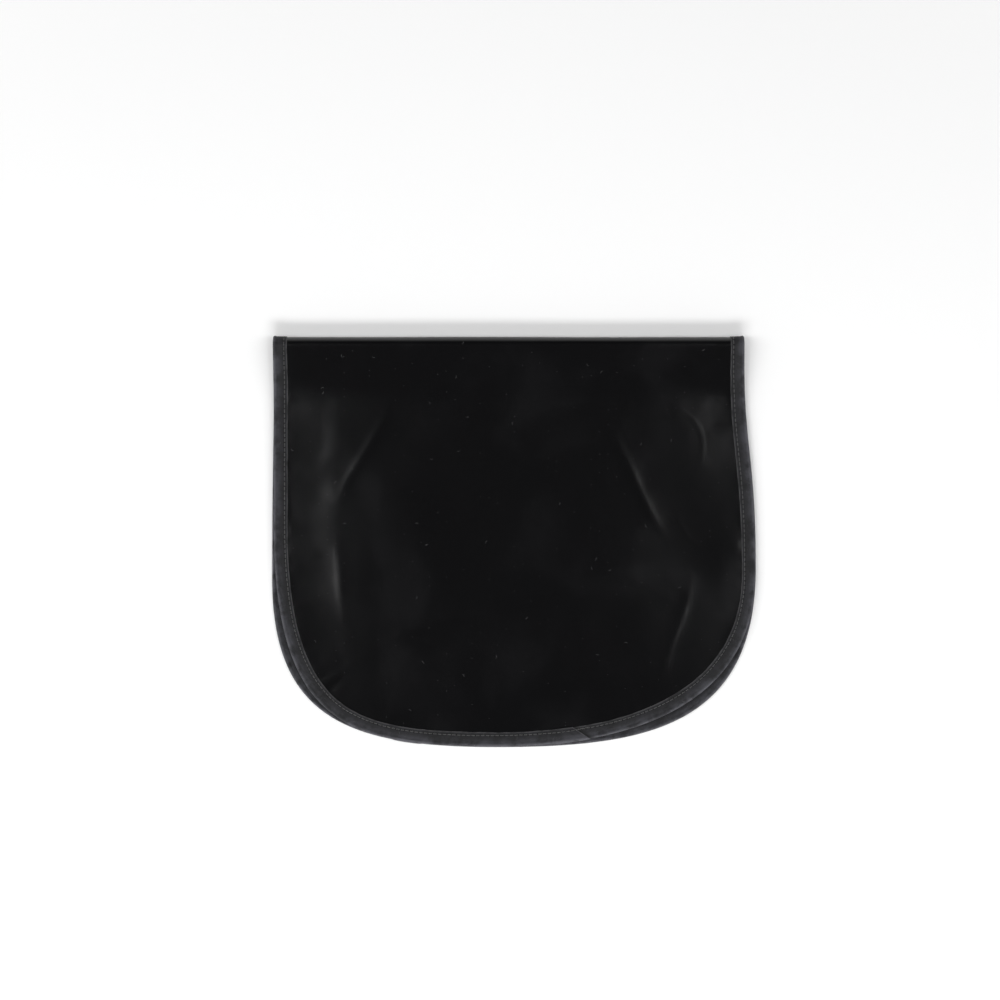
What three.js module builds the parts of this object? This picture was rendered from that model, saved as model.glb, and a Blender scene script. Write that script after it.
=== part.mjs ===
// A car side window sunshade, folded once across its middle and lying flat.
// A black static-cling film fills a sprung wire frame, and a woven tape is sewn over both edges.
// Millimetres. X runs across the shade, Y points from the open end to the fold, Z is up.

import * as THREE from "three";

// Flat pattern, before the fold
const shadeLength = 650;
const shadeWidth = 380;
const endMiddle = -14; // where the open end reaches furthest, a little left of the middle
const waistLeft = 1.5; // how far each long edge pulls in at the fold
const waistRight = 10;

// Corners: reach is how far up the side one starts, and fullness how squarely it is drawn.
// The wire is bent by hand, so the four corners differ and the lower leaf shows past the upper.
const corners = {
  upperLeft: { pullIn: 1.5, reach: 175, sideFullness: 0.92, endFullness: 0.66 },
  upperRight: { pullIn: 0.5, reach: 136, sideFullness: 0.77, endFullness: 0.51 },
  lowerLeft: { pullIn: 0, reach: 132, sideFullness: 0.83, endFullness: 0.66 },
  lowerRight: { pullIn: 0, reach: 141, sideFullness: 0.89, endFullness: 0.58 },
};

// Materials
const filmThickness = 0.5;
const wireDiameter = 1.2;
const tapeThickness = 0.45;
const tapeDepth = 11; // how far the folded tape reaches in over the film
const sleeveWall = 0.4;
const sleeveLength = 16;
const sleeveSlit = 0.4;
const clearance = 0.2; // between pieces that lie in one another

// Where the tape's ends lap and the wire's ends meet, along the rim from the middle of the upper end
const lapPlace = 46;
const lapLength = 22;
const lapRamp = 6;
const lapClearance = 0.1;
const sleevePlace = -70;
const sleeveRamp = 4;
const wireButtGap = 0.3;

// The fold across the middle
const foldRadius = 6;
const foldOverturn = THREE.MathUtils.degToRad(12); // the upper leaf dips this much past level
const settleRadius = 120; // and comes back to level along an arc of this radius
const leafGap = 0.3;

// Fineness of the facets
const stationTurn = THREE.MathUtils.degToRad(9);
const stationRun = 40;
const walkStep = 0.25;
const bisections = 40;
const beadSides = 8;
const wireSides = 6;
const filmColumns = 5;
const filmRowSpacing = 0.9;

// Values that follow from the sizes above
const leafLength = shadeLength / 2;
const wireRadius = wireDiameter / 2;
const beadRadius = wireRadius + clearance + tapeThickness;
const legHeight = filmThickness / 2 + clearance + tapeThickness;
const lapRise = tapeThickness + lapClearance;
const sleeveRise = sleeveWall + clearance;
const leafRise = 2 * beadRadius + Math.max(lapRise, sleeveRise) + leafGap;
const filmInset = 2 * beadRadius + clearance;

// The fold, seen from the side, as runs of constant curl that start at its crown
const loopDrop = foldRadius * (1 + Math.cos(foldOverturn)) - leafRise;
const settleDrop = settleRadius * (1 - Math.cos(foldOverturn));
const upperProfile = [
  { run: foldRadius * (Math.PI / 2 + foldOverturn), curl: 1 / foldRadius },
  { run: (loopDrop - settleDrop) / Math.sin(foldOverturn), curl: 0 },
  { run: settleRadius * foldOverturn, curl: -1 / settleRadius },
  { run: Infinity, curl: 0 },
];
const lowerProfile = [
  { run: (foldRadius * Math.PI) / 2, curl: 1 / foldRadius },
  { run: Infinity, curl: 0 },
];

// Folds a point of the flat pattern: u across, v along, h off the outer face.
// The upper leaf has negative v and the lower one positive v. The crown is at the origin.
function fold(u, v, h) {
  const profile = v < 0 ? upperProfile : lowerProfile;
  let left = Math.abs(v);
  let turn = 0;
  let y = 0;
  let z = 0;
  for (const { run, curl } of profile) {
    const length = Math.min(left, run);
    const next = turn + curl * length;
    y -= curl ? (Math.cos(turn) - Math.cos(next)) / curl : length * Math.sin(turn);
    z += curl ? (Math.sin(next) - Math.sin(turn)) / curl : length * Math.cos(turn);
    turn = next;
    left -= length;
    if (left <= 0) break;
  }
  const side = v < 0 ? 1 : -1;
  return new THREE.Vector3(u, y + h * Math.cos(turn), side * (z + h * Math.sin(turn)));
}

// One quarter of the rim, from the fold down the side and round the corner to the open end
function quarter(hand, leaf, corner) {
  const across = hand * (shadeWidth / 2 - corner.pullIn);
  const waist = hand * (shadeWidth / 2 - (hand < 0 ? waistLeft : waistRight));
  const shoulder = leafLength - corner.reach;
  const side = new THREE.CubicBezierCurve(
    new THREE.Vector2(waist, 0),
    new THREE.Vector2(waist, (leaf * shoulder) / 2),
    new THREE.Vector2(across, (leaf * shoulder) / 2),
    new THREE.Vector2(across, leaf * shoulder),
  );
  const bend = new THREE.CubicBezierCurve(
    side.v3,
    new THREE.Vector2(across, leaf * (shoulder + corner.reach * corner.sideFullness)),
    new THREE.Vector2(endMiddle + (across - endMiddle) * corner.endFullness, leaf * leafLength),
    new THREE.Vector2(endMiddle, leaf * leafLength),
  );
  return [side, bend];
}

function backwards(curves) {
  return curves.map((c) => new THREE.CubicBezierCurve(c.v3, c.v2, c.v1, c.v0)).reverse();
}

// The whole rim, anticlockwise on the outer face, from the middle of the upper open end
const rim = new THREE.CurvePath();
rim.curves = [
  ...backwards(quarter(1, -1, corners.upperRight)),
  ...quarter(1, 1, corners.lowerRight),
  ...backwards(quarter(-1, 1, corners.lowerLeft)),
  ...quarter(-1, -1, corners.upperLeft),
];
const rimLength = rim.getLength();

function rimAt(distance) {
  const share = THREE.MathUtils.euclideanModulo(distance, rimLength) / rimLength;
  const point = rim.getPoint(share);
  const along = rim.getTangent(share);
  return { point, inward: new THREE.Vector2(-along.y, along.x) };
}

// The places along the pattern where the fold bends, the same for every piece that crosses it
function bendsOf(profile, leaf) {
  const places = [0];
  for (const { run, curl } of profile.slice(0, -1)) {
    const steps = Math.max(1, Math.ceil((run * Math.abs(curl)) / stationTurn));
    const start = places[places.length - 1];
    for (let i = 1; i <= steps; i++) places.push(start + (run * i) / steps);
  }
  return places.map((v) => leaf * v);
}
const bends = [...bendsOf(upperProfile, -1).reverse(), ...bendsOf(lowerProfile, 1).slice(1)];

// Where along the rim a place along the pattern is, on the right or the left
function rimPlace(hand, v) {
  let low = hand > 0 ? 0 : rimLength;
  let high = rim.getCurveLengths()[3];
  for (let i = 0; i < bisections; i++) {
    const middle = (low + high) / 2;
    if (rimAt(middle).point.y < v) low = middle;
    else high = middle;
  }
  return (low + high) / 2;
}

// Stations along the rim: at the ends of its curves, at the fold's bends, and where it has turned or run enough
function findStations() {
  const fixed = [0, ...rim.getCurveLengths(), ...[1, -1].flatMap((hand) => bends.map((v) => rimPlace(hand, v)))];
  fixed.sort((a, b) => a - b);
  const stations = [];
  for (let i = 0; i + 1 < fixed.length; i++) {
    let last = fixed[i];
    if (fixed[i + 1] - last < walkStep) continue;
    stations.push(last);
    for (let d = last + walkStep; d < fixed[i + 1] - walkStep; d += walkStep) {
      const turn = Math.abs(rimAt(d).inward.angleTo(rimAt(last).inward));
      if (turn < stationTurn && d - last < stationRun) continue;
      stations.push(d);
      last = d;
    }
  }
  return stations;
}
const rimStations = findStations();

// The stations of a piece that runs along the rim, with its own ends and places of change
function stationsOf(start, end, changes = []) {
  const laps = [-rimLength, 0, rimLength];
  const inside = laps
    .flatMap((shift) => rimStations.map((d) => d + shift))
    .concat(changes)
    .filter((d) => d > start + walkStep && d < end - walkStep);
  const sorted = [start, ...inside.sort((a, b) => a - b), end];
  return sorted.filter((d, i) => i === 0 || d === end || d - sorted[i - 1] > walkStep / 2);
}

// A closed solid through rings of points, with the first and last ring capped by one flat contour
function loft(rings, contour) {
  const count = contour.length;
  const index = [];
  for (let r = 0; r + 1 < rings.length; r++) {
    for (let i = 0; i < count; i++) {
      const a = r * count + i;
      const b = r * count + ((i + 1) % count);
      index.push(a, b, b + count, a, b + count, a + count);
    }
  }
  const last = (rings.length - 1) * count;
  for (const [a, b, c] of THREE.ShapeUtils.triangulateShape(contour, [])) {
    index.push(a, c, b, last + a, last + b, last + c);
  }
  const geometry = new THREE.BufferGeometry().setFromPoints(rings.flat());
  geometry.setIndex(index);
  geometry.computeVertexNormals();
  return geometry;
}

// Sweeps a section along the rim. A section point is (inward from the rim, height off the film's middle)
function sweep(stations, sectionAt) {
  const rings = stations.map((d) => {
    const { point, inward } = rimAt(d);
    return sectionAt(d).map((s) => fold(point.x + inward.x * s.x, point.y + inward.y * s.x, s.y));
  });
  return loft(rings, sectionAt(stations[0]));
}

function arc(radius, from, to, steps) {
  return Array.from({ length: steps + 1 }, (_, i) => {
    const angle = from + ((to - from) * i) / steps;
    return new THREE.Vector2(beadRadius + radius * Math.cos(angle), radius * Math.sin(angle));
  });
}

// The tape's section: a bead round the wire and two legs that hold the film
function tapeSection(beadRise, legRise) {
  const outside = beadRadius + beadRise;
  const inside = outside - tapeThickness;
  const legOut = legHeight + legRise;
  const legIn = legOut - tapeThickness;
  const halfSide = Math.PI / beadSides;
  const first = 3 * halfSide;
  const turns = beadSides - 3;
  const neckOut = beadRadius + outside * Math.SQRT2 - legOut;
  const neckIn = beadRadius + inside * Math.SQRT2 - legIn;
  return [
    new THREE.Vector2(tapeDepth, legIn),
    new THREE.Vector2(tapeDepth, legOut),
    new THREE.Vector2(neckOut, legOut),
    ...arc(outside / Math.cos(halfSide), first, 2 * Math.PI - first, turns),
    new THREE.Vector2(neckOut, -legOut),
    new THREE.Vector2(tapeDepth, -legOut),
    new THREE.Vector2(tapeDepth, -legIn),
    new THREE.Vector2(neckIn, -legIn),
    ...arc(inside / Math.cos(halfSide), 2 * Math.PI - first, first, turns),
    new THREE.Vector2(neckIn, legIn),
  ];
}

// The tape goes round once and laps over its own start, and swells over the wire's sleeve
function bindingTape() {
  const end = lapPlace + rimLength + lapLength;
  const lapStart = lapPlace + rimLength - lapRamp;
  const lapFull = lapStart + lapRamp / 2;
  const sleeveMiddle = sleevePlace + rimLength;
  const swellHalf = sleeveLength / 2 + clearance;
  const changes = [
    lapStart,
    lapFull,
    ...[-1, 1].flatMap((side) => [
      sleeveMiddle + side * swellHalf,
      sleeveMiddle + side * (swellHalf + sleeveRamp),
    ]),
  ];
  const sectionAt = (d) => {
    const lapped = THREE.MathUtils.clamp((d - lapStart) / (lapFull - lapStart), 0, 1) * lapRise;
    const past = Math.abs(d - sleeveMiddle) - swellHalf;
    const swollen = THREE.MathUtils.clamp(1 - past / sleeveRamp, 0, 1) * sleeveRise;
    return tapeSection(lapped + swollen, lapped);
  };
  return sweep(stationsOf(lapPlace, end, changes), sectionAt);
}

// The spring wire runs in the bead, and its two ends meet in the sleeve
function frameWire() {
  const start = sleevePlace + wireButtGap / 2;
  const end = sleevePlace - wireButtGap / 2 + rimLength;
  const round = arc(wireRadius, 0, 2 * Math.PI, wireSides).slice(0, wireSides);
  return sweep(stationsOf(start, end), () => round);
}

// The sleeve is rolled from strip, with a slit that faces the film
function wireSleeve() {
  const bore = wireRadius + clearance;
  const slitAngle = sleeveSlit / 2 / bore;
  const section = [
    ...arc(bore + sleeveWall, slitAngle, 2 * Math.PI - slitAngle, beadSides),
    ...arc(bore, 2 * Math.PI - slitAngle, slitAngle, beadSides),
  ];
  const half = sleeveLength / 2;
  return sweep(stationsOf(sleevePlace - half, sleevePlace + half), () => section);
}

// The film's edge runs inside the tape, beside the bead
const filmEdge = rim.getSpacedPoints(Math.round(rimLength)).map((_, i, all) => {
  const { point, inward } = rimAt((i * rimLength) / (all.length - 1));
  return point.addScaledVector(inward, filmInset);
});

// How far across the film's edge is, on one hand and at one place along
function filmReach(hand, v) {
  const middle = Math.round(filmEdge.length / 2);
  const edge = hand > 0 ? filmEdge.slice(0, middle) : filmEdge.slice(middle).reverse();
  const i = Math.max(1, edge.findIndex((p) => p.y > v));
  const share = (v - edge[i - 1].y) / (edge[i].y - edge[i - 1].y);
  return THREE.MathUtils.lerp(edge[i - 1].x, edge[i].x, THREE.MathUtils.clamp(share, 0, 1));
}

function filmPanel() {
  const end = leafLength - filmInset - clearance;
  const places = rimStations.map((d) => rimAt(d).point.y).filter((v) => Math.abs(v) < end - filmRowSpacing);
  const rows = [-end];
  for (const v of places.sort((a, b) => a - b)) {
    if (v - rows[rows.length - 1] > filmRowSpacing) rows.push(v);
  }
  rows.push(end);
  const columns = Array.from({ length: filmColumns + 1 }, (_, i) => i / filmColumns);
  const around = [
    ...columns.map((share) => new THREE.Vector2(filmThickness / 2, share)),
    ...columns.map((share) => new THREE.Vector2(-filmThickness / 2, 1 - share)),
  ];
  const rings = rows.map((v) => {
    const left = filmReach(-1, v);
    const right = filmReach(1, v);
    return around.map((p) => fold(THREE.MathUtils.lerp(left, right, p.y), v, p.x));
  });
  return loft(rings, around);
}

function piece(name, geometry, look) {
  const mesh = new THREE.Mesh(geometry, new THREE.MeshStandardMaterial(look));
  mesh.name = name;
  return mesh;
}

const shade = new THREE.Group();
shade.add(
  piece("film_panel", filmPanel(), { color: 0x131215, roughness: 0.22, metalness: 0 }),
  piece("binding_tape", bindingTape(), { color: 0x3a3a3c, roughness: 0.85, metalness: 0 }),
  piece("frame_wire", frameWire(), { color: 0x9a9c9f, roughness: 0.35, metalness: 1 }),
  piece("wire_sleeve", wireSleeve(), { color: 0xb4b6b8, roughness: 0.4, metalness: 1 }),
);

// The shade lies on its lower bead, centred between the crown of the fold and the open end
const openEnd = fold(0, leafLength, 0).y;
shade.position.set(0, -(openEnd + beadRadius) / 2, foldRadius + beadRadius);

export default shade;
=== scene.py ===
# %% [markdown]
# # A folded car side window sunshade
#
# The object is one sheet of glossy black vinyl film in a sprung wire rim, bound all round with a sewn
# woven tape. It is folded once across its middle and lies flat, seen from straight above.
# The hard facts, such as sizes and how the pieces seat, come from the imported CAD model. This script
# adds what a camera sees: how the film puckers along its seam, the tape's weave and lap, and the thread.

# %% Load the frame
import math
import bpy
import numpy as np
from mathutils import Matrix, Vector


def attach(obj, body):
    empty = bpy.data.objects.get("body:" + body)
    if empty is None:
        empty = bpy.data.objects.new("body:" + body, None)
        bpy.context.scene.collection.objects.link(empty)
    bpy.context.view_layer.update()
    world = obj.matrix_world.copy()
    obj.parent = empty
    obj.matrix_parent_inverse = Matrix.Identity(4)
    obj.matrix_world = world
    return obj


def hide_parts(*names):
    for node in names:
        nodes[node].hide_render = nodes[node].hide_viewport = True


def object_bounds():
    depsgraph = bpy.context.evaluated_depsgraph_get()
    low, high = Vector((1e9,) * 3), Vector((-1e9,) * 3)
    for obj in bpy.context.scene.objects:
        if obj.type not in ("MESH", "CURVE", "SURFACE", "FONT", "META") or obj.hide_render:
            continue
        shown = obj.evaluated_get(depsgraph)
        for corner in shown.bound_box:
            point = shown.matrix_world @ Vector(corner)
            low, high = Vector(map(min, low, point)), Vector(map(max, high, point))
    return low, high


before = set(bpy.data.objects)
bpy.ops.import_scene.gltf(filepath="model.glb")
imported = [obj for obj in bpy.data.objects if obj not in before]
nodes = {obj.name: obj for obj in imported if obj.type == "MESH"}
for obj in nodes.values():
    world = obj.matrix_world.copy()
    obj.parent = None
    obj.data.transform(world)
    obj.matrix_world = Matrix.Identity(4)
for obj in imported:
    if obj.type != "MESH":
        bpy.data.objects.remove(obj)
cad_low, cad_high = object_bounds()
print("CAD nodes:", sorted(nodes))
print("CAD box:", [round(x, 4) for x in (*cad_low, *cad_high)])

# %% [markdown]
# ## Sizes
#
# Everything is measured on the flat pattern, as a maker would: `u` runs across the shade and `v` along
# it, with the fold at `v = 0`, the upper leaf at negative `v` and the lower leaf at positive `v`.
# Drawing flat and folding last keeps every piece in its neighbour, because one function folds them all.

# %% Sizes of the flat pattern and the materials
MM = 0.001
SHADE_LENGTH = 650 * MM
SHADE_WIDTH = 380 * MM
END_MIDDLE = -14 * MM
WAIST = {-1: 1.5 * MM, 1: 10 * MM}

# (hand, leaf): how far a corner's side is pulled in, how far up it starts, and how square it is drawn
CORNERS = {
    (-1, -1): (1.5 * MM, 175 * MM, 0.92, 0.66),
    (1, -1): (0.5 * MM, 136 * MM, 0.77, 0.51),
    (-1, 1): (0.0, 132 * MM, 0.83, 0.66),
    (1, 1): (0.0, 141 * MM, 0.89, 0.58),
}
WIRE_RADIUS = 0.6 * MM
TAPE_THICKNESS = 0.45 * MM
TAPE_DEPTH = 11 * MM
CLEARANCE = 0.2 * MM
BEAD_RADIUS = WIRE_RADIUS + CLEARANCE + TAPE_THICKNESS
FILM_HALF = 0.2 * MM
FILM_INSET = 3.2 * MM
LAP_PLACE = 46 * MM
LAP_LENGTH = 22 * MM
LAP_RISE = 0.55 * MM
LAP_RAMP = 6 * MM
SLEEVE_PLACE = -70 * MM
SLEEVE_HALF = 8 * MM
SLEEVE_RISE = 0.5 * MM
FOLD_RADIUS = 6 * MM
FOLD_OVERTURN = math.radians(12)
SETTLE_RADIUS = 120 * MM
LEAF_RISE = 2 * BEAD_RADIUS + 0.6 * MM + 0.3 * MM
LEAF_LENGTH = SHADE_LENGTH / 2
CROWN_Y = cad_high.y - BEAD_RADIUS
CROWN_Z = FOLD_RADIUS + BEAD_RADIUS
print("one leaf is", round(LEAF_LENGTH / MM), "mm long")
print("the leaves lie", round(LEAF_RISE / MM, 1), "mm apart")

# %% [markdown]
# ## The rim as one curve
#
# A spring wire takes smooth curves and never a sharp corner, so each quarter of the rim is two Bezier
# curves: the long side, which draws in a little at the fold, and the corner. Walking them densely gives a
# table from distance along the rim to place and inward direction, which every swept piece reads.

# %% The rim on the flat pattern
def bezier(points, steps):
    t = np.linspace(0, 1, steps)[:, None]
    a, b, c, d = (np.array(p) for p in points)
    return (1 - t) ** 3 * a + 3 * (1 - t) ** 2 * t * b + 3 * (1 - t) * t**2 * c + t**3 * d


def quarter_rim(hand, leaf):
    """From the fold down one side and round the corner to the open end."""
    pull_in, reach, side_fullness, end_fullness = CORNERS[hand, leaf]
    across = hand * (SHADE_WIDTH / 2 - pull_in)
    waist = hand * (SHADE_WIDTH / 2 - WAIST[hand])
    shoulder = LEAF_LENGTH - reach
    middle = leaf * shoulder / 2
    side = [(waist, 0), (waist, middle), (across, middle), (across, leaf * shoulder)]
    corner = [
        side[3],
        (across, leaf * (shoulder + reach * side_fullness)),
        (END_MIDDLE + (across - END_MIDDLE) * end_fullness, leaf * LEAF_LENGTH),
        (END_MIDDLE, leaf * LEAF_LENGTH),
    ]
    return np.vstack([bezier(side, 2000), bezier(corner, 3000)[1:]])


rim_points = np.vstack([
    quarter_rim(1, -1)[::-1],
    quarter_rim(1, 1)[1:],
    quarter_rim(-1, 1)[::-1][1:],
    quarter_rim(-1, -1)[1:],
])
rim_distance = np.r_[0, np.cumsum(np.linalg.norm(np.diff(rim_points, axis=0), axis=1))]
RIM_LENGTH = rim_distance[-1]
rim_slope = np.gradient(rim_points, rim_distance, axis=0)
rim_curl = np.gradient(np.unwrap(np.arctan2(rim_slope[:, 1], rim_slope[:, 0])), rim_distance)
rim_inward = np.stack([-rim_slope[:, 1], rim_slope[:, 0]], 1)
rim_inward /= np.linalg.norm(rim_inward, axis=1)[:, None]


def along_rim(distance):
    """Place and inward direction at distances along the rim."""
    d = np.mod(distance, RIM_LENGTH)
    place = [np.interp(d, rim_distance, rim_points[:, k]) for k in (0, 1)]
    inward = [np.interp(d, rim_distance, rim_inward[:, k]) for k in (0, 1)]
    return np.stack(place, -1), np.stack(inward, -1)


def cornering(distance):
    """0 where the rim runs straight, and 1 where it is most curved."""
    return np.clip(np.interp(np.mod(distance, RIM_LENGTH), rim_distance, rim_curl) / 9, 0, 1)


print("the rim is", round(RIM_LENGTH, 3), "m round")
print("its tightest radius is", round(1 / rim_curl.max(), 3), "m")

# %% [markdown]
# ## The fold
#
# Seen from the side, the fold is a tight loop that turns a little past level, a short slope, and a long
# arc that brings the upper leaf back to level. Each run has one constant curl, so its place is a closed
# formula and needs no simulation. The same function carries film, tape and thread.

# %% Folding the flat pattern
loop_drop = FOLD_RADIUS * (1 + math.cos(FOLD_OVERTURN)) - LEAF_RISE
settle_drop = SETTLE_RADIUS * (1 - math.cos(FOLD_OVERTURN))
UPPER_RUNS = [
    (FOLD_RADIUS * (math.pi / 2 + FOLD_OVERTURN), 1 / FOLD_RADIUS),
    ((loop_drop - settle_drop) / math.sin(FOLD_OVERTURN), 0.0),
    (SETTLE_RADIUS * FOLD_OVERTURN, -1 / SETTLE_RADIUS),
    (math.inf, 0.0),
]
LOWER_RUNS = [(FOLD_RADIUS * math.pi / 2, 1 / FOLD_RADIUS), (math.inf, 0.0)]


def follow(runs, left):
    """How far back, how high and how turned the film is, that far from the crown."""
    back = np.zeros_like(left)
    high = np.zeros_like(left)
    turn = np.zeros_like(left)
    for run, curl in runs:
        length = np.minimum(left, run)
        after = turn + curl * length
        back += (np.cos(turn) - np.cos(after)) / curl if curl else length * np.sin(turn)
        high += (np.sin(after) - np.sin(turn)) / curl if curl else length * np.cos(turn)
        turn = after
        left = left - length
    return back, high, turn


def fold(u, v, h):
    """Carries points of the flat pattern, h off its outer face, to where they lie."""
    u, v, h = np.broadcast_arrays(*(np.asarray(x, float) for x in (u, v, h)))
    upper = v < 0
    back, high, turn = (
        np.where(upper, a, b)
        for a, b in zip(follow(UPPER_RUNS, np.abs(v)), follow(LOWER_RUNS, np.abs(v)))
    )
    y = CROWN_Y - back + h * np.cos(turn)
    z = np.where(upper, 1, -1) * (high + h * np.sin(turn)) + CROWN_Z
    return np.stack([u, y, z], -1)


print("the folded open end lies at y =", round(float(fold(0, LEAF_LENGTH, 0)[1]), 4))

# %% [markdown]
# ## Lofting rings into meshes
#
# Film, tape and thread are all one section carried along a line, so one helper joins rings of points
# into a closed mesh. It also writes a UV map in metres, `pattern`, so that weave and grain keep their
# real scale wherever the piece bends.

# %% Lofting
def smooth_step(low, high, x):
    t = np.clip((x - low) / (high - low), 0, 1)
    return t * t * (3 - 2 * t)


def loft(name, rings, map_along, map_round):
    """A closed mesh through rings[row, column], with map_along and map_round as its UVs in metres."""
    rows, count = rings.shape[:2]
    r, c = np.meshgrid(np.arange(rows - 1), np.arange(count), indexing="ij")
    c_next = (c + 1) % count
    quads = np.stack([r * count + c, r * count + c_next, (r + 1) * count + c_next, (r + 1) * count + c], -1)
    caps = [list(range(count))[::-1], list(range((rows - 1) * count, rows * count))]
    mesh = bpy.data.meshes.new(name)
    mesh.from_pydata(rings.reshape(-1, 3).tolist(), [], quads.reshape(-1, 4).tolist() + caps)
    corners = [(r, c), (r, c + 1), (r + 1, c + 1), (r + 1, c)]
    uv = np.stack([np.stack([map_along[a, b], map_round[a, b]], -1) for a, b in corners], -2).reshape(-1, 2)
    ends = [np.stack([map_along[k, :count], map_round[k, :count]], -1) for k in (0, -1)]
    layer = mesh.uv_layers.new(name="pattern")
    layer.data.foreach_set("uv", np.vstack([uv, ends[0][::-1], ends[1]]).astype(np.float32).ravel())
    mesh.polygons.foreach_set("use_smooth", [True] * (len(mesh.polygons) - 2) + [False, False])
    mesh.update()
    piece = bpy.data.objects.new(name, mesh)
    bpy.context.scene.collection.objects.link(piece)
    triangles = 2 * (rows - 1) * count + 2 * (count - 2)
    print(name, "has", triangles, "triangles and lies", round(1000 * rings[..., 2].min(), 2), "mm up")
    return piece


# %% [markdown]
# ## Unevenness that is the same every time
#
# Nothing sewn is quite even. A small table of seeded random numbers, blended smoothly between its
# entries, gives soft unevenness in one or two directions, and gives the same shapes on every run.

# %% Seeded unevenness
TABLE_SIDE = 64


def unevenness(seed, x, y=0.0):
    """Smooth values between about -1 and 1, one wave for each unit of x and y."""
    table = np.random.default_rng(seed).uniform(-1, 1, (TABLE_SIDE, TABLE_SIDE))
    x, y = np.broadcast_arrays(np.asarray(x, float), np.asarray(y, float))
    i, j = np.floor(x).astype(int), np.floor(y).astype(int)
    fx, fy = smooth_step(0, 1, x - i), smooth_step(0, 1, y - j)

    def at(a, b):
        return table[a % TABLE_SIDE, b % TABLE_SIDE]

    near = at(i, j) * (1 - fx) + at(i + 1, j) * fx
    far = at(i, j + 1) * (1 - fx) + at(i + 1, j + 1) * fx
    return near * (1 - fy) + far * fy


# %% [markdown]
# ## The film's relief
#
# Static-cling vinyl is soft and thin. Sewing eases it round the corners, so it gathers into short
# puckers that run out from the tape, and once folded it keeps broad, low waves and a few soft creases.
# A cloth simulation would spend minutes on fractions of a millimetre, so the relief is made directly.

# %% Puckers, waves and creases of the film
PUCKER_REACH = 13 * MM
PUCKER_HEIGHT = 0.42 * MM
WAVE_HEIGHT = 1.3 * MM
RIPPLE_HEIGHT = 0.20 * MM

# (leaf, u, v from the fold, heading, length, height, width) of each soft crease, lengths in mm
CREASES = [
    (-1, -118, 96, 62, 90, 0.55, 3.5),
    (-1, 96, 118, 118, 110, 0.60, 4.0),
    (-1, -62, 228, 22, 130, 0.45, 4.5),
    (-1, 128, 232, 74, 90, 0.42, 3.5),
    (-1, 18, 150, 152, 80, 0.35, 4.0),
    (-1, -136, 196, 98, 70, 0.28, 3.5),
    (-1, 52, 272, 12, 85, 0.45, 3.5),
    (-1, -30, 70, 176, 120, 0.30, 5.0),
    (1, 60, 140, 40, 120, 0.35, 4.0),
    (1, -90, 210, 130, 100, 0.35, 4.0),
    (1, 20, 262, 165, 110, 0.35, 4.0),
]


def nearest_rim(u, v):
    """How far in from the rim each point lies, and the distance along the rim of the nearest place."""
    samples = np.arange(0, RIM_LENGTH, 1.5 * MM)
    places = along_rim(samples)[0]
    points = np.stack([u.ravel(), v.ravel()], 1)
    inset = np.empty(len(points))
    place = np.empty(len(points))
    for start in range(0, len(points), 4000):
        part = points[start : start + 4000]
        gaps = np.linalg.norm(part[:, None] - places[None], axis=2)
        closest = gaps.argmin(1)
        inset[start : start + 4000] = gaps[np.arange(len(part)), closest]
        place[start : start + 4000] = samples[closest]
    return inset.reshape(u.shape), place.reshape(u.shape)


def crease_height(u, v, leaf, crease_u, crease_v, heading, length, height, width):
    a = math.radians(heading)
    du, dv = u - crease_u * MM, v - leaf * crease_v * MM
    along = du * math.cos(a) + dv * math.sin(a)
    aside = -du * math.sin(a) + dv * math.cos(a) + 0.0012 * np.sin(along / (14 * MM))
    fade = np.clip(1 - (2 * along / (length * MM)) ** 2, 0, 1)
    return height * MM * fade * np.exp(-np.abs(aside) / (width * MM))


def film_relief(u, v):
    inset, place = nearest_rim(u, v)
    inner = smooth_step(TAPE_DEPTH - 0.5 * MM, TAPE_DEPTH + 2.5 * MM, inset)
    calm = smooth_step(TAPE_DEPTH, TAPE_DEPTH + 40 * MM, inset)
    gather = np.clip(0.35 + 0.75 * unevenness(3, place / (38 * MM)), 0.08, 1) * (0.7 + 0.5 * cornering(place))
    pucker = unevenness(5, place / (6.1 * MM)) + 0.55 * unevenness(6, place / (3.4 * MM), inset / (9 * MM))
    past = np.maximum(inset - TAPE_DEPTH, 0)
    height = PUCKER_HEIGHT * gather * pucker * inner * np.exp(-past / PUCKER_REACH)
    height += WAVE_HEIGHT * calm * unevenness(11, u / (85 * MM) + 7.3, v / (95 * MM) + 11.7)
    height += RIPPLE_HEIGHT * calm * unevenness(12, u / (26 * MM) + 3.1, v / (31 * MM) + 9.4)
    for crease in CREASES:
        on_leaf = np.where(np.sign(v) == crease[0], 1, 0) * smooth_step(0, 20 * MM, inset - TAPE_DEPTH)
        height += on_leaf * crease_height(u, v, *crease)
    away = smooth_step(4 * MM, 45 * MM, np.abs(v))
    height *= 0.15 + 0.85 * away
    # The lower leaf has only the bead's height between it and what it lies on
    room = np.where(v > 0, 0.6 * MM, 2.0 * MM)
    return room * np.tanh(height / room)


# %% The film
FILM_STEP = 2.5 * MM
FILM_COLUMNS = 152


def film_rows():
    end = LEAF_LENGTH - FILM_INSET - 0.3 * MM
    loop = FOLD_RADIUS * math.pi * 0.6
    flat = np.linspace(loop, end, round((end - loop) / FILM_STEP))
    turned = np.linspace(-loop, loop, 34)
    tip = end - np.array([1.6, 0.8, 0.35]) * MM
    return np.unique(np.round(np.r_[-flat, -tip, turned, flat, tip], 7))


def film_sides(v):
    """How far across the film reaches at each place along, on the left and on the right."""
    edge = rim_points + rim_inward * FILM_INSET
    half = len(quarter_rim(1, 1)) * 2 - 1
    right, left = edge[:half], edge[half - 1 :][::-1]
    return np.interp(v, left[:, 1], left[:, 0]), np.interp(v, right[:, 1], right[:, 0])


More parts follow.
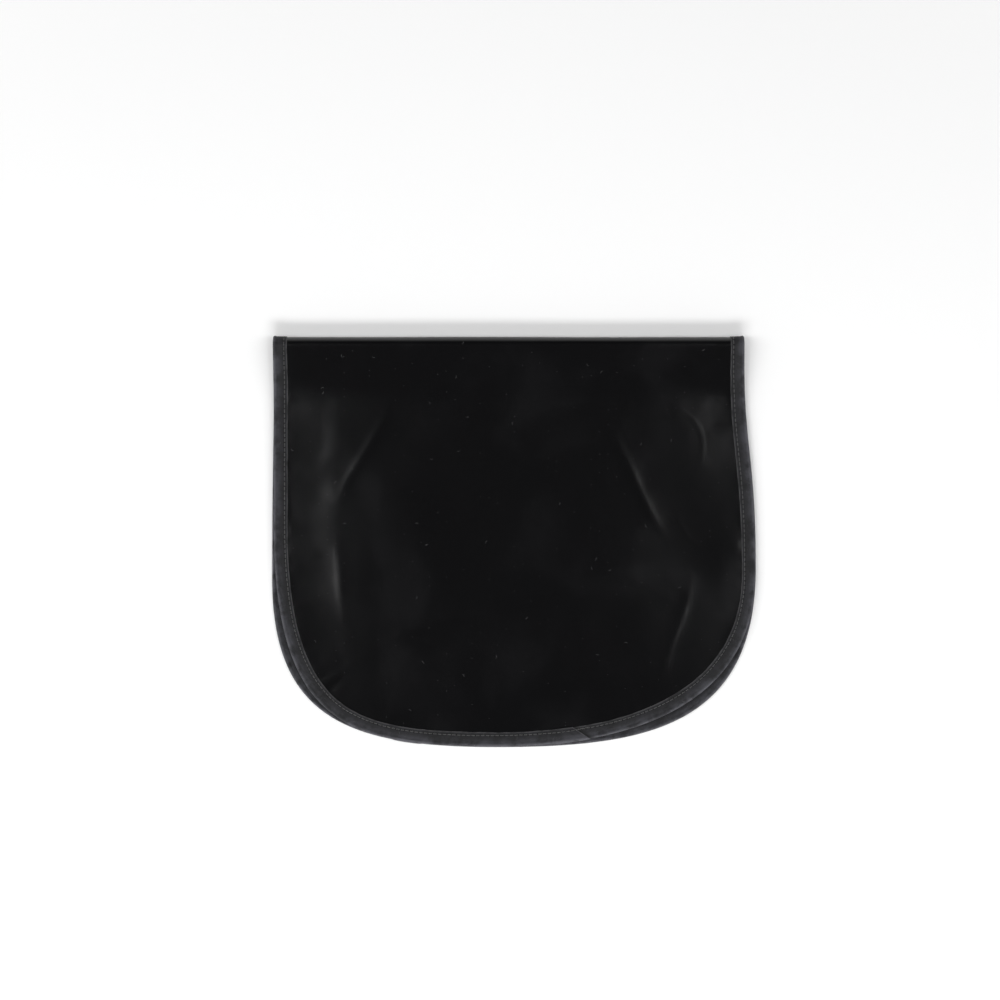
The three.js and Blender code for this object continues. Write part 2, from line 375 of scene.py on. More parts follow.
def make_film():
    v_row = film_rows()
    left, right = film_sides(v_row)
    share = np.linspace(0, 1, FILM_COLUMNS + 1)
    u = left[:, None] + (right - left)[:, None] * share
    v = np.repeat(v_row[:, None], len(share), 1)
    relief = film_relief(u, v)
    rings = np.concatenate([fold(u, v, relief + FILM_HALF), fold(u, v, relief - FILM_HALF)[:, ::-1]], 1)
    map_u = np.concatenate([u, u[:, ::-1], u[:, :1]], 1)
    map_v = np.concatenate([v, v, v[:, :1]], 1)
    return loft("film_sheet", rings, map_u, map_v)


film = make_film()

# %% [markdown]
# ## The binding tape
#
# The tape is folded over the film's edge and the wire. Round the wire it stands up as a bead, and at
# the stitch line the thread pulls it down, so between two stitches it pillows a little. Its end is cut
# aslant and laps over its start. Close stations along the rim make those small forms real geometry.

# %% Heights of the tape above the film's middle
STITCH_PITCH = 3.8 * MM
STITCH_INSET = 8.6 * MM
TAPE_STATIONS = 4  # for each stitch
LAP_START = LAP_PLACE + RIM_LENGTH
LAP_END = LAP_START + LAP_LENGTH
SLANT = 6.3 * MM

# The tape's outer face spans from the wire down to the seam like a tent, in mm in from the rim
TENT_INSET = [2.2, 3.1, 4.6, 6.5, 8.6, 10.2, 12.0]
TENT_HEIGHT = [1.06, 0.82, 0.84, 0.80, 0.66, 0.66, 0.60]
SEAM_HALF = 0.9 * MM
SEAM_GROOVE = 0.08 * MM
NEEDLE_HOLE = 0.16 * MM


def lap_lift(s):
    return LAP_RISE * smooth_step(LAP_START - LAP_RAMP, LAP_START - LAP_RAMP / 3, s)


def sleeve_swell(s):
    off = np.abs(np.mod(s - SLEEVE_PLACE + RIM_LENGTH / 2, RIM_LENGTH) - RIM_LENGTH / 2)
    return SLEEVE_RISE * smooth_step(SLEEVE_HALF + 6 * MM, SLEEVE_HALF, off)


def leg_height(s, n):
    """The tape's outer face, n in from the rim and s along it."""
    tent = np.interp(n / MM, TENT_INSET, TENT_HEIGHT) * MM
    groove = np.exp(-(((n - STITCH_INSET) / SEAM_HALF) ** 2))
    hole = np.cos(math.pi * s / STITCH_PITCH) ** 4
    slack = smooth_step(2.5 * MM, 6 * MM, n)
    soft = 0.07 * MM * unevenness(21, s / (9 * MM), n / (4 * MM))
    soft = soft + 0.05 * MM * unevenness(24, s / (2.6 * MM), n / (3 * MM))
    gather = 0.16 * MM * cornering(s) * unevenness(22, s / (3.3 * MM)) * smooth_step(4 * MM, 10 * MM, n)
    return tent + soft * slack + gather - groove * (SEAM_GROOVE + NEEDLE_HOLE * hole)


# %% The tape's section
def tape_section(s, face_seed):
    """Points of (inward, height) round the tape: outer face, bead, the face below, then the inside."""
    ones = np.ones_like(s)
    depth = TAPE_DEPTH + 0.35 * MM * unevenness(face_seed, s / (46 * MM))
    depth = depth + 0.12 * MM * unevenness(33, s / (5 * MM))
    lift = lap_lift(s)
    bead = BEAD_RADIUS + lift + sleeve_swell(s)
    grip = FILM_HALF + 0.06 * MM + lift
    slack = FILM_HALF + 0.12 * MM + lift
    leg = [depth, depth - 0.2 * MM, depth - 0.9 * MM]
    leg += [x * MM * ones for x in (9.3, 8.6, 7.9, 6.6, 5.2, 4.0, 3.1, 2.5)]
    outer = [(depth - 0.05 * MM, grip), (depth + 0.06 * MM, grip + 0.2 * MM)]
    outer += [(n, leg_height(s, n) + lift - (0.1 * MM if i == 0 else 0)) for i, n in enumerate(leg)]
    arc = np.radians(np.linspace(62, 298, 9))
    round_wire = [(BEAD_RADIUS + bead * math.cos(a), bead * math.sin(a)) for a in arc]
    under = [(n, -h) for n, h in outer[::-1]]
    wall = bead - TAPE_THICKNESS
    turns = np.radians([285, 225, 180, 135, 75])
    hollow = [(BEAD_RADIUS + wall * math.cos(a), wall * math.sin(a)) for a in turns]
    inside = [(3.6 * MM * ones, -slack), *hollow, (3.6 * MM * ones, slack)]
    return np.stack([np.stack([n, h * ones], -1) for n, h in outer + round_wire + under + inside], 1)


# %% Sweeping the tape round the rim
def place_on_rim(s, n, h, slant=0.0):
    """Points that lie n in from the rim and h off the film's middle. A slant shifts them along the rim."""
    place, inward = along_rim(s + slant * (1 - 2 * np.clip(n, 0, TAPE_DEPTH) / TAPE_DEPTH))
    point = place + inward * n[..., None]
    return fold(point[..., 0], point[..., 1], h)


def make_tape():
    count = round((LAP_END - LAP_PLACE) / STITCH_PITCH * TAPE_STATIONS)
    s = np.linspace(LAP_PLACE, LAP_END, count)
    section = tape_section(s, 31)
    slant = SLANT * smooth_step(LAP_START, LAP_END, s)
    rings = place_on_rim(s[:, None], section[..., 0], section[..., 1], slant[:, None])
    closed = np.concatenate([section, section[:, :1]], 1)
    steps = np.linalg.norm(np.diff(closed, axis=1), axis=2)
    map_round = np.concatenate([np.zeros((count, 1)), np.cumsum(steps, 1)], 1)
    map_along = np.repeat(s[:, None], map_round.shape[1], 1)
    return loft("bound_tape", rings, map_along, map_round)


def map_distance(inward):
    """Where that place of the outer face lies on the tape's map, measured round the section."""
    section = tape_section(np.array([LAP_PLACE + 300 * MM]), 31)[0]
    round_it = np.r_[0, np.cumsum(np.linalg.norm(np.diff(section, axis=0), axis=1))]
    outer = section[:, 0].argmin() + 1
    return float(np.interp(-inward, -section[2:outer, 0], round_it[2:outer]))


tape = make_tape()
BEAD_ON_MAP = map_distance(0.0)
SEAM_FROM_BEAD = BEAD_ON_MAP - map_distance(STITCH_INSET)
SELVEDGE_FROM_BEAD = BEAD_ON_MAP - map_distance(TAPE_DEPTH - 0.9 * MM)
print("round the tape, the rim is at", round(BEAD_ON_MAP / MM, 1), "mm")
print("the seam is", round(SEAM_FROM_BEAD / MM, 1), "mm off it")

# %% [markdown]
# ## The thread
#
# A lockstitch has one thread on each face. Each lies over the tape between two holes and dives into
# them, where the other thread holds it. One continuous strand for each face, which dips at every hole,
# gives the dashes of shadow that make sewing read as sewing.

# %% The two threads of the seam
THREAD_RADIUS = 0.23 * MM
THREAD_STATIONS = 10  # for each stitch
THREAD_SIDES = 6
CUT_END = LAP_END - 3.5 * MM  # where the slanted end crosses the seam


def thread_lift(s):
    """The seam climbs onto the lap, and steps down over the tape's cut end."""
    return lap_lift(s) - LAP_RISE * smooth_step(CUT_END - 0.2 * MM, CUT_END + 1.4 * MM, s)


def make_thread(name, face):
    start, end = CUT_END - RIM_LENGTH + 1.5 * MM, CUT_END + 11 * MM
    count = round((end - start) / STITCH_PITCH * THREAD_STATIONS)
    s = np.linspace(start, end, count)
    beside = 0.45 * MM * smooth_step(CUT_END, CUT_END + 2 * MM, s)
    n = STITCH_INSET + 0.14 * MM * unevenness(41, s / (23 * MM)) + beside
    over = smooth_step(0.15, 0.75, np.abs(np.sin(math.pi * s / STITCH_PITCH)))
    h = leg_height(s, np.full_like(s, STITCH_INSET)) + thread_lift(s) + 0.14 * MM - 0.40 * MM * (1 - over)
    angles = np.linspace(0, 2 * math.pi, THREAD_SIDES, endpoint=False)
    ring_n = n[:, None] + THREAD_RADIUS * np.cos(angles)
    ring_h = face * h[:, None] + THREAD_RADIUS * np.sin(angles)
    rings = place_on_rim(s[:, None], ring_n, ring_h)
    map_along = np.repeat(s[:, None], THREAD_SIDES + 1, 1)
    map_round = np.linspace(0, 2 * math.pi * THREAD_RADIUS, THREAD_SIDES + 1) * np.ones((count, 1))
    return loft(name, rings, map_along, map_round)


outer_thread = make_thread("outer_thread", 1)
inner_thread = make_thread("inner_thread", -1)

# %% [markdown]
# ## Hanging the pieces on the frame
#
# Each soft piece rides on the part's one body, and the film and the tape take the place of their CAD
# solids, which are hidden. The film is a sheet cut flat and folded.

# %% Pieces and their frame
body = "root"
for piece in (film, tape, outer_thread, inner_thread):
    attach(piece, body)
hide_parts("film_panel")
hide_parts("binding_tape")

# %% [markdown]
# ## Helpers for shader nodes
#
# A material is a small network. One helper makes a node and fills or feeds its inputs, so that each
# material below reads from top to bottom like a recipe. Lengths in the recipes are metres, because the
# UV map `pattern` is in metres.

# %% Shader helpers
def add_node(tree, kind, inputs=None, **settings):
    """A node with its settings. Inputs are constants, or the sockets that feed them."""
    node = tree.nodes.new(kind)
    for key, value in settings.items():
        setattr(node, key, value)
    for key, value in (inputs or {}).items():
        if isinstance(value, bpy.types.NodeSocket):
            tree.links.new(value, node.inputs[key])
        else:
            node.inputs[key].default_value = value
    return node


def maths(tree, operation, a, b=0.0, c=0.0):
    return add_node(tree, "ShaderNodeMath", {0: a, 1: b, 2: c}, operation=operation).outputs[0]


def ramp(tree, value, low, high, to_low=0.0, to_high=1.0):
    """A smooth change from to_low to to_high while value goes from low to high."""
    inputs = {"Value": value, "From Min": low, "From Max": high, "To Min": to_low, "To Max": to_high}
    return add_node(tree, "ShaderNodeMapRange", inputs, interpolation_type="SMOOTHSTEP").outputs["Result"]


def tint(tree, factor, a, b):
    """A colour that goes from a to b."""
    return add_node(tree, "ShaderNodeMix", {0: factor, 6: a, 7: b}, data_type="RGBA").outputs[2]


def stretch(tree, place, scale, turn=0.0):
    """Turns a place on the surface, then scales it, so that a pattern can run at a slant."""
    turned = add_node(tree, "ShaderNodeMapping", {"Vector": place, "Rotation": (0, 0, turn)}).outputs[0]
    return add_node(tree, "ShaderNodeMapping", {"Vector": turned, "Scale": scale}).outputs[0]


def bend(tree, place, scale, amount):
    """Shifts a place a little, more here and less there, so that straight marks run in curves."""
    shift = maths(tree, "MULTIPLY", clouds(tree, place, scale), amount)
    offset = add_node(tree, "ShaderNodeCombineXYZ", {0: shift, 1: shift}).outputs[0]
    return add_node(tree, "ShaderNodeVectorMath", {0: place, 1: offset}).outputs[0]


def clouds(tree, place, scale, detail=2.0, roughness=0.5, distortion=0.0):
    inputs = {"Vector": place, "Scale": scale, "Detail": detail}
    inputs.update({"Roughness": roughness, "Distortion": distortion})
    return add_node(tree, "ShaderNodeTexNoise", inputs).outputs["Fac"]


def grey(level, blue=0.0):
    """A grey of that level, a little bluer where blue is above 0."""
    return (level, level, level * (1 + blue), 1)


# %% [markdown]
# ## Effects that several finishes share
#
# Grain and settled dust each go on more than one finish, and the weave goes on the tape, so each is a
# node group with named inputs. The groups give only heights and masks. The shader itself stays in the
# material, where a reader, and any exporter, finds it.

# %% Node groups
def new_group(name, inputs, outputs):
    """An empty group with named sockets. Inputs are (name, kind, value)."""
    tree = bpy.data.node_groups.new(name, "ShaderNodeTree")
    for socket_name, kind, value in inputs:
        socket = tree.interface.new_socket(socket_name, in_out="INPUT", socket_type=kind)
        if value is not None:
            socket.default_value = value
    for socket_name in outputs:
        tree.interface.new_socket(socket_name, in_out="OUTPUT", socket_type="NodeSocketFloat")
    return tree, add_node(tree, "NodeGroupInput").outputs, add_node(tree, "NodeGroupOutput")


FLOAT, VECTOR = "NodeSocketFloat", "NodeSocketVector"


def make_grain_group():
    """Fine, even grain with a slower roll under it, as calendered or drawn surfaces have."""
    tree, given, out = new_group(
        "fine_grain", [("Place", VECTOR, None), ("Grains per metre", FLOAT, 900.0)], ["Height", "Mask"]
    )
    fine = clouds(tree, given["Place"], given["Grains per metre"], 3.0, 0.6)
    slow = clouds(tree, given["Place"], maths(tree, "MULTIPLY", given["Grains per metre"], 0.13), 2.0)
    both = maths(tree, "ADD", maths(tree, "MULTIPLY", fine, 0.45), maths(tree, "MULTIPLY", slow, 0.9))
    tree.links.new(both, out.inputs["Height"])
    tree.links.new(ramp(tree, slow, 0.35, 0.65), out.inputs["Mask"])
    return tree


def make_dust_group():
    """Settled specks and short bent fibres of lint. Amount 0 is clean and 1 is dusty."""
    tree, given, out = new_group(
        "settled_dust",
        [("Place", VECTOR, None), ("Amount", FLOAT, 0.3), ("Cells per metre", FLOAT, 150.0)],
        ["Mask"],
    )
    inputs = {0: given["Place"], "Scale": given["Cells per metre"]}
    scaled = add_node(tree, "ShaderNodeVectorMath", inputs, operation="SCALE")
    inputs = {"Vector": scaled.outputs[0], "Scale": 1.0}
    cell = add_node(tree, "ShaderNodeTexVoronoi", inputs, voronoi_dimensions="2D")
    chance = add_node(tree, "ShaderNodeSeparateColor", {"Color": cell.outputs["Color"]}).outputs
    speck = ramp(tree, cell.outputs["Distance"], 0.034, 0.018)
    speck = maths(tree, "MULTIPLY", speck, maths(tree, "GREATER_THAN", given["Amount"], chance[0]))
    inputs = {0: scaled.outputs[0], 1: cell.outputs["Position"]}
    local = add_node(tree, "ShaderNodeVectorMath", inputs, operation="SUBTRACT").outputs[0]
    inputs = {"Vector": local, "Angle": maths(tree, "MULTIPLY", chance[1], 6.28)}
    turned = add_node(tree, "ShaderNodeVectorRotate", inputs, rotation_type="Z_AXIS").outputs[0]
    part = add_node(tree, "ShaderNodeSeparateXYZ", {0: turned}).outputs
    sag = maths(tree, "MULTIPLY", maths(tree, "MULTIPLY", part[0], part[0]), 2.2)
    width = ramp(tree, maths(tree, "ABSOLUTE", maths(tree, "SUBTRACT", part[1], sag)), 0.017, 0.007)
    length = ramp(tree, maths(tree, "ABSOLUTE", part[0]), 0.20, 0.12)
    few = maths(tree, "GREATER_THAN", maths(tree, "MULTIPLY", given["Amount"], 0.2), chance[2])
    fibre = maths(tree, "MULTIPLY", maths(tree, "MULTIPLY", width, length), few)
    tree.links.new(maths(tree, "MAXIMUM", speck, fibre), out.inputs["Mask"])
    return tree


def make_weave_group():
    """Over-and-under yarns, from distances along and across the cloth."""
    tree, given, out = new_group(
        "woven_rib",
        [("Place", VECTOR, None), ("Ribs per metre", FLOAT, 1250.0), ("Picks per metre", FLOAT, 2000.0)],
        ["Height", "Painted hollow shade"],
    )
    part = add_node(tree, "ShaderNodeSeparateXYZ", {0: given["Place"]}).outputs
    wobble = maths(tree, "MULTIPLY", clouds(tree, given["Place"], 260.0), 0.9)
    along = maths(tree, "ADD", maths(tree, "MULTIPLY", part[0], given["Ribs per metre"]), wobble)
    across = maths(tree, "MULTIPLY", part[1], given["Picks per metre"])
    rib = maths(tree, "ABSOLUTE", maths(tree, "SINE", maths(tree, "MULTIPLY", along, math.pi)))
    odd = maths(tree, "MULTIPLY", maths(tree, "FLOOR", along), 0.5)
    step = maths(tree, "MULTIPLY", maths(tree, "ADD", across, odd), math.pi)
    pick = maths(tree, "ABSOLUTE", maths(tree, "SINE", step))
    height = maths(tree, "ADD", maths(tree, "MULTIPLY", rib, 0.65), maths(tree, "MULTIPLY", pick, 0.35))
    tree.links.new(height, out.inputs["Height"])
    # The hollows between yarns, as a mask for painted shade.
    tree.links.new(ramp(tree, height, 0.5, 0.15), out.inputs["Painted hollow shade"])
    return tree


grain_group, dust_group, weave_group = make_grain_group(), make_dust_group(), make_weave_group()
print("node groups:", [g.name for g in (grain_group, dust_group, weave_group)])


# %% Starting a material
def new_finish(name, uses_pattern=True):
    """An empty material, its Principled shader, and the place that its textures read."""
    material = bpy.data.materials.new(name)
    material.use_nodes = True
    tree = material.node_tree
    shader = tree.nodes["Principled BSDF"]
    if uses_pattern:
        place = add_node(tree, "ShaderNodeUVMap", uv_map="pattern").outputs[0]
    else:
        place = add_node(tree, "ShaderNodeTexCoord").outputs["Object"]
    return material, tree, shader, place


def use_group(tree, group, inputs):
    node = add_node(tree, "ShaderNodeGroup", node_tree=group)
    for key, value in inputs.items():
        if isinstance(value, bpy.types.NodeSocket):
            tree.links.new(value, node.inputs[key])
        else:
            node.inputs[key].default_value = value
    return node.outputs


def feed(tree, shader, **sockets):
    """Feeds the shader's inputs: constants stay on its own sockets."""
    for key, value in sockets.items():
        socket = shader.inputs[key.replace("_", " ")]
        if isinstance(value, bpy.types.NodeSocket):
            tree.links.new(value, socket)
        else:
            socket.default_value = value


# %% [markdown]
# ## Glossy black film
#
# The film is dyed through, nearly black, and smooth enough to cling to glass. What shows is what it
# mirrors, broken up by a slight roll of the surface, handling smudges, a few hairlines and some lint,
# which static draws to it. All of that is roughness and relief. The colour hardly changes.

# %% Film material
def make_film_finish():
    material, tree, shader, place = new_finish("cling_film_gloss")
    grain = use_group(tree, grain_group, {"Place": place, "Grains per metre": 900.0})
    dust = use_group(tree, dust_group, {"Place": place, "Amount": 0.09})
    smudge = ramp(tree, clouds(tree, place, 13.0, 3.0, 0.5, 0.5), 0.42, 0.72)
    curved = bend(tree, place, 9.0, 0.03)
    hair_a = ramp(tree, clouds(tree, stretch(tree, curved, (900, 14, 1), 0.9), 1.0, 1.0), 0.74, 0.82)
    hair_b = ramp(tree, clouds(tree, stretch(tree, curved, (800, 16, 1), -0.5), 1.0, 1.0), 0.75, 0.82)
    hairline = maths(tree, "MULTIPLY", maths(tree, "MAXIMUM", hair_a, hair_b), 0.05)
    rough = maths(tree, "ADD", ramp(tree, smudge, 0.0, 1.0, 0.165, 0.20), hairline)
    rough = maths(tree, "ADD", rough, maths(tree, "MULTIPLY", dust["Mask"], 0.4))
    colour = tint(tree, smudge, grey(0.0026, 0.15), grey(0.0036, 0.15))
    colour = tint(tree, dust["Mask"], colour, grey(0.05))
    dents = clouds(tree, place, 38.0, 1.0, 0.4)
    winding = maths(tree, "ABSOLUTE", maths(tree, "SUBTRACT", clouds(tree, place, 9.0, 1.5, 0.4, 0.4), 0.5))
    here = ramp(tree, clouds(tree, place, 8.0), 0.48, 0.62)
    pressed = maths(tree, "MULTIPLY", ramp(tree, winding, 0.028, 0.0), here)
    specks = maths(tree, "MULTIPLY", dust["Mask"], 0.2)
    height = maths(tree, "ADD", maths(tree, "MULTIPLY", grain["Height"], 0.12), specks)
    height = maths(tree, "ADD", height, maths(tree, "ADD", dents, maths(tree, "MULTIPLY", pressed, 0.16)))
    bump = add_node(tree, "ShaderNodeBump", {"Height": height, "Distance": 0.00028, "Strength": 1.0})
    feed(tree, shader, Base_Color=colour, Roughness=rough, Normal=bump.outputs[0], IOR=1.5)
    return material


# %% [markdown]
# ## Woven tape
#
# The tape is plain black polyester with a fine rib across it. Its yarns catch light on their crowns,
# which a sheen gives, and the hollows between them get painted shade. The bead is the proudest place, so
# handling polishes and greys it first, and a painted highlight lightens it too. The inner half of the tape
# and the stitch line get painted shade, and the selvedge a painted highlight. The cut end of the lap shows
# a pale edge of frayed yarn with a painted highlight, and painted shade beyond it.

# %% Tape material
def make_tape_finish():
    material, tree, shader, place = new_finish("woven_tape_black")
    weave = use_group(tree, weave_group, {"Place": place})
    dust = use_group(tree, dust_group, {"Place": place, "Amount": 0.22})
    part = add_node(tree, "ShaderNodeSeparateXYZ", {0: place}).outputs
    patchy = ramp(tree, clouds(tree, place, 70.0, 5.0, 0.65), 0.36, 0.64)
    from_bead = maths(tree, "ABSOLUTE", maths(tree, "SUBTRACT", part[1], BEAD_ON_MAP))
    # The bead's crown is lightened: handling wear, and a painted highlight along the bead.
    crown_patches = ramp(tree, patchy, 0.0, 0.8, 0.3, 1.0)
    crown = maths(tree, "MULTIPLY", ramp(tree, from_bead, 3.6 * MM, 1.0 * MM), crown_patches)
    colour = tint(tree, patchy, grey(0.010, 0.15), grey(0.046, 0.15))
    # Painted shade: the inner half of the tape, away from the bead, is darkened.
    inner = ramp(tree, from_bead, 3.6 * MM, 7.5 * MM)
    colour = tint(tree, maths(tree, "MULTIPLY", inner, 0.65), colour, grey(0.007, 0.12))
    from_seam = maths(tree, "ABSOLUTE", maths(tree, "SUBTRACT", from_bead, SEAM_FROM_BEAD))
    stitches = maths(tree, "MULTIPLY", part[0], math.pi / STITCH_PITCH)
    in_step = maths(tree, "ABSOLUTE", maths(tree, "SINE", stitches))
    needle = ramp(tree, in_step, 0.62, 0.30, 0.25, 1.0)
    # Painted shade in the stitch groove and needle holes, in dashes between stitches.
    painted_stitch_shade = maths(tree, "MULTIPLY", ramp(tree, from_seam, 1.1 * MM, 0.4 * MM), needle)
    colour = tint(tree, maths(tree, "MULTIPLY", painted_stitch_shade, 0.95), colour, grey(0.002))
    # Lightens the bead's crown: handling wear and a painted highlight.
    colour = tint(tree, maths(tree, "MULTIPLY", crown, 0.8), colour, grey(0.105, 0.14))
    # Painted highlight along the selvedge at the tape's inner edge, patchy along it.
    selvedge = ramp(tree, from_bead, SELVEDGE_FROM_BEAD, SELVEDGE_FROM_BEAD + 0.5 * MM)
    painted_selvedge_highlight = maths(tree, "MULTIPLY", selvedge, ramp(tree, patchy, 0.0, 0.7, 0.2, 0.9))
    colour = tint(tree, painted_selvedge_highlight, colour, grey(0.055, 0.04))
    # Painted shade in the hollows between the yarns.
    colour = tint(tree, maths(tree, "MULTIPLY", weave["Painted hollow shade"], 0.5), colour, grey(0.010))
    aslant = maths(tree, "MULTIPLY_ADD", from_bead, 2 * SLANT / TAPE_DEPTH, -SLANT)
    past_lap = maths(tree, "ADD", maths(tree, "SUBTRACT", part[0], LAP_END - RIM_LENGTH), aslant)
    shaded = ramp(tree, past_lap, 1.0 * MM, 9 * MM, 0.85, 0.0)
    colour = tint(tree, shaded, colour, grey(0.004))
    # The cut end is lighter: frayed yarn, and a painted highlight on the edge.
    cut_edge_yarn_and_highlight = ramp(tree, part[0], LAP_END - 0.9 * MM, LAP_END - 0.4 * MM, 0.0, 0.8)
    colour = tint(tree, cut_edge_yarn_and_highlight, colour, grey(0.09, 0.1))
    colour = tint(tree, maths(tree, "MULTIPLY", dust["Mask"], 0.6), colour, grey(0.14))
    polish = maths(tree, "MULTIPLY", crown, 0.12)
    rough = maths(tree, "SUBTRACT", ramp(tree, patchy, 0.0, 1.0, 0.56, 0.74), polish)
    rumple = clouds(tree, stretch(tree, place, (190, 420, 1), 0.25), 1.0, 3.0, 0.55, 0.6)
    height = maths(tree, "ADD", maths(tree, "MULTIPLY", weave["Height"], 0.22), rumple)
    bump = add_node(tree, "ShaderNodeBump", {"Height": height, "Distance": 0.0006, "Strength": 1.0})
    feed(tree, shader, Base_Color=colour, Roughness=rough, Normal=bump.outputs[0])
    feed(tree, shader, Sheen_Weight=0.05, Sheen_Roughness=0.4, Specular_IOR_Level=0.22)
    return material


# %% [markdown]
# ## Thread
#
# Sewing thread is two or three plies twisted together, with more shine than the tape it sews. The twist
# is far too fine to model, so a slanted wave on its UV map gives it, as bump and as colour: a painted
# highlight on each ply's crown and painted shade between the plies.

# %% Thread material
def make_thread_finish():
    material, tree, shader, place = new_finish("sewing_thread_black")
    grain = use_group(tree, grain_group, {"Place": place, "Grains per metre": 2600.0})
    part = add_node(tree, "ShaderNodeSeparateXYZ", {0: place}).outputs
    round_it = maths(tree, "MULTIPLY", part[1], 10000.0)
    twist = maths(tree, "ADD", maths(tree, "MULTIPLY", part[0], 9000.0), round_it)
    ply = maths(tree, "ABSOLUTE", maths(tree, "SINE", twist))
    # Painted highlight on the ply crowns and painted shade in the grooves between plies.
    colour = tint(tree, ramp(tree, ply, 0.1, 0.7), grey(0.02), grey(0.085))
    height = maths(tree, "ADD", ply, maths(tree, "MULTIPLY", grain["Height"], 0.4))
    bump = add_node(tree, "ShaderNodeBump", {"Height": height, "Distance": 0.00005, "Strength": 1.0})
    rough = ramp(tree, grain["Mask"], 0.0, 1.0, 0.38, 0.5)
    feed(tree, shader, Base_Color=colour, Roughness=rough, Normal=bump.outputs[0])
    feed(tree, shader, Sheen_Weight=0.2, Sheen_Roughness=0.4)
    return material


# %% [markdown]
# ## Wire and sleeve
#
# Both are inside the bead and keep their CAD shape. Drawing a wire leaves lines along it, and the sleeve
# is rolled strip, so each gets fine grain, faint oil stains and its own metal colour.

# %% Metal materials
def make_metal_finish(name, colour, stain, smooth, dull):
    material, tree, shader, place = new_finish(name, uses_pattern=False)
    grain = use_group(tree, grain_group, {"Place": place, "Grains per metre": 3200.0})
    dust = use_group(tree, dust_group, {"Place": place, "Amount": 0.3})
    patchy = ramp(tree, clouds(tree, place, 120.0, 4.0, 0.6), 0.42, 0.68)
    shown = tint(tree, patchy, colour, stain)
    shown = tint(tree, maths(tree, "MULTIPLY", dust["Mask"], 0.5), shown, grey(0.2))
    drawn = maths(tree, "MULTIPLY", grain["Mask"], 0.06)
    rough = maths(tree, "ADD", ramp(tree, patchy, 0.0, 1.0, smooth, dull), drawn)
    inputs = {"Height": grain["Height"], "Distance": 0.00001, "Strength": 1.0}
    bump = add_node(tree, "ShaderNodeBump", inputs)
    feed(tree, shader, Base_Color=shown, Roughness=rough, Normal=bump.outputs[0], Metallic=1.0)
    return material


# %% Finishing every piece
def finish_with(piece, material):
    if piece.data.materials:
        for k in range(len(piece.data.materials)):
            piece.data.materials[k] = material
    else:
        piece.data.materials.append(material)


finish_with(film, make_film_finish())
finish_with(tape, make_tape_finish())
thread_finish = make_thread_finish()
finish_with(outer_thread, thread_finish)
finish_with(inner_thread, thread_finish)
wire_finish = make_metal_finish("drawn_spring_wire", grey(0.42), grey(0.28, -0.10), 0.28, 0.42)
sleeve_finish = make_metal_finish("rolled_sleeve", grey(0.62), grey(0.46, -0.04), 0.34, 0.5)
finish_with(nodes["frame_wire"], wire_finish)
finish_with(nodes["wire_sleeve"], sleeve_finish)
print("finishes:", sorted(m.name for m in bpy.data.materials if m.users))

# %% [markdown]
# ## Floor, light and camera
#
# Black film shows what it mirrors, so the light matters more than its colour. Two tall softboxes stand
# left and right, low enough that level film doesn't mirror them, and the sky is pale near the horizon
# and dark overhead. The level film then stays black from above, and each pucker, bead and fold that
# leans towards a softbox draws a soft line of light.

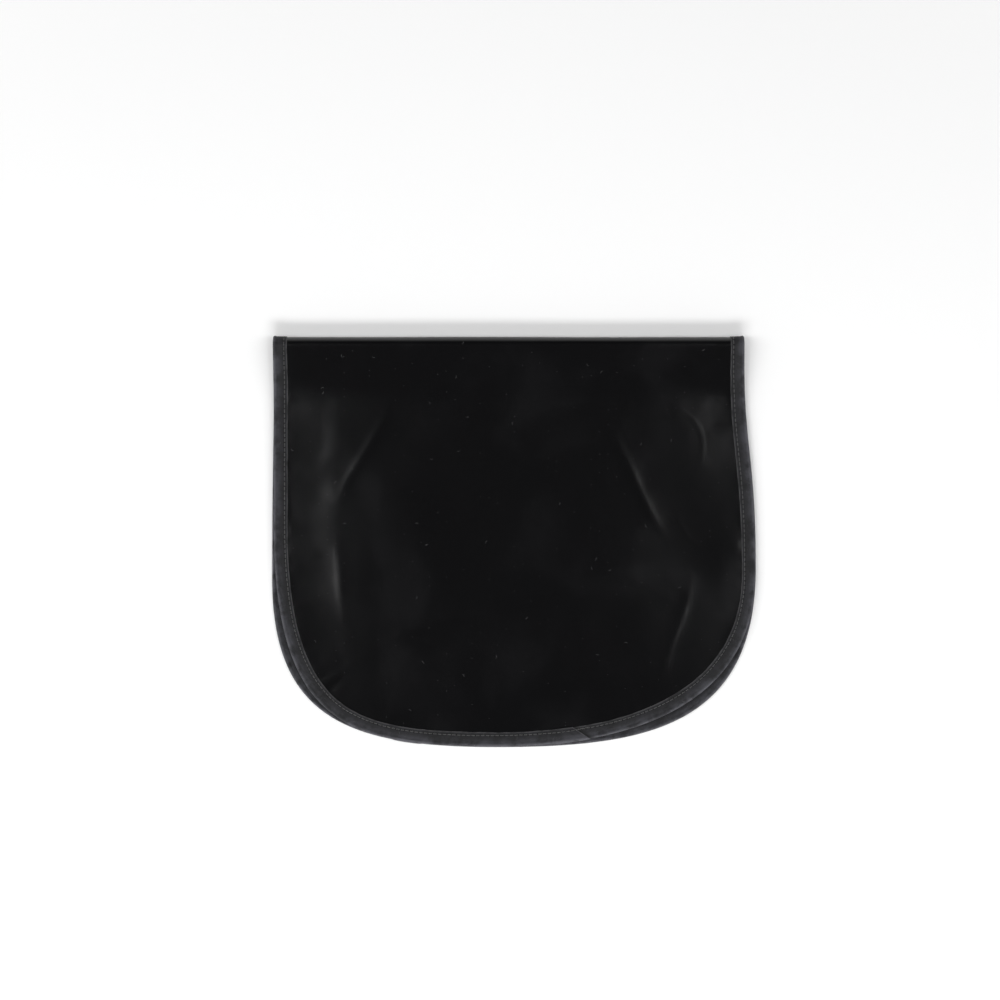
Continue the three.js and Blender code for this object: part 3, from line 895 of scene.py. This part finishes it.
# %% Floor
def make_floor():
    mesh = bpy.data.meshes.new("floor")
    side, level = 6.0, -0.0002
    corners = [(-side, -side, level), (side, -side, level), (side, side, level), (-side, side, level)]
    mesh.from_pydata(corners, [], [(0, 1, 2, 3)])
    floor = bpy.data.objects.new("floor", mesh)
    bpy.context.scene.collection.objects.link(floor)
    material = bpy.data.materials.new("floor_white")
    material.use_nodes = True
    tree = material.node_tree
    path = add_node(tree, "ShaderNodeLightPath").outputs
    seen = maths(tree, "MAXIMUM", path["Is Camera Ray"], path["Is Glossy Ray"])
    seen = maths(tree, "MAXIMUM", seen, path["Is Transmission Ray"])
    place = add_node(tree, "ShaderNodeTexCoord").outputs["Object"]
    radius = add_node(tree, "ShaderNodeVectorMath", {0: place}, operation="LENGTH").outputs["Value"]
    far = maths(tree, "MULTIPLY", ramp(tree, radius, 0.45, 0.9), seen)
    shader = tree.nodes["Principled BSDF"]
    paper = tint(tree, seen, grey(0.80), grey(0.97))
    feed(tree, shader, Base_Color=paper, Roughness=1.0, Specular_IOR_Level=0.0)
    white = add_node(tree, "ShaderNodeEmission", {"Color": (1, 1, 1, 1), "Strength": 1.0})
    both = add_node(tree, "ShaderNodeMixShader", {0: far, 1: shader.outputs[0], 2: white.outputs[0]})
    tree.links.new(both.outputs[0], tree.nodes["Material Output"].inputs["Surface"])
    mesh.materials.append(material)


make_floor()


# %% Sky and softboxes
def make_sky():
    world = bpy.data.worlds.new("studio_sky")
    bpy.context.scene.world = world
    world.use_nodes = True
    tree = world.node_tree
    direction = add_node(tree, "ShaderNodeTexCoord").outputs["Generated"]
    upward = add_node(tree, "ShaderNodeSeparateXYZ", {0: direction}).outputs[2]
    level = ramp(tree, upward, math.sin(math.radians(5)), math.sin(math.radians(50)), 1.0, 0.035)
    background = tree.nodes["Background"]
    background.inputs["Color"].default_value = (1, 1, 1, 1)
    tree.links.new(level, background.inputs["Strength"])


def add_softbox(name, place, target, width, height, watts):
    lamp = bpy.data.lights.new(name, "AREA")
    lamp.shape = "RECTANGLE"
    lamp.size = width
    lamp.size_y = height
    lamp.energy = watts
    box = bpy.data.objects.new(name, lamp)
    bpy.context.scene.collection.objects.link(box)
    box.location = place
    box.rotation_euler = (box.location - Vector(target)).to_track_quat("Z", "Y").to_euler()


make_sky()
add_softbox("left_softbox", (-1.4, 0.1, 1.85), (-0.05, 0, 0), 0.7, 1.8, 22)
add_softbox("right_softbox", (1.4, 0.1, 1.85), (0.05, 0, 0), 0.7, 1.8, 16)
add_softbox("front_softbox", (0.0, -1.7, 1.5), (0, -0.05, 0), 1.6, 0.5, 30)

# %% Camera
CAMERA_HEIGHT = 2.0
VIEW_WIDTH = 0.785


def make_camera():
    data = bpy.data.cameras.new("overhead_camera")
    data.sensor_width = 36
    data.lens = 36 * (CAMERA_HEIGHT - 0.003) / VIEW_WIDTH
    camera = bpy.data.objects.new("overhead_camera", data)
    camera.location = (-0.011, 0.0327, CAMERA_HEIGHT)
    bpy.context.scene.collection.objects.link(camera)
    bpy.context.scene.camera = camera
    print("the lens is", round(data.lens, 1), "mm")


make_camera()
bpy.context.scene.view_settings.view_transform = "Standard"
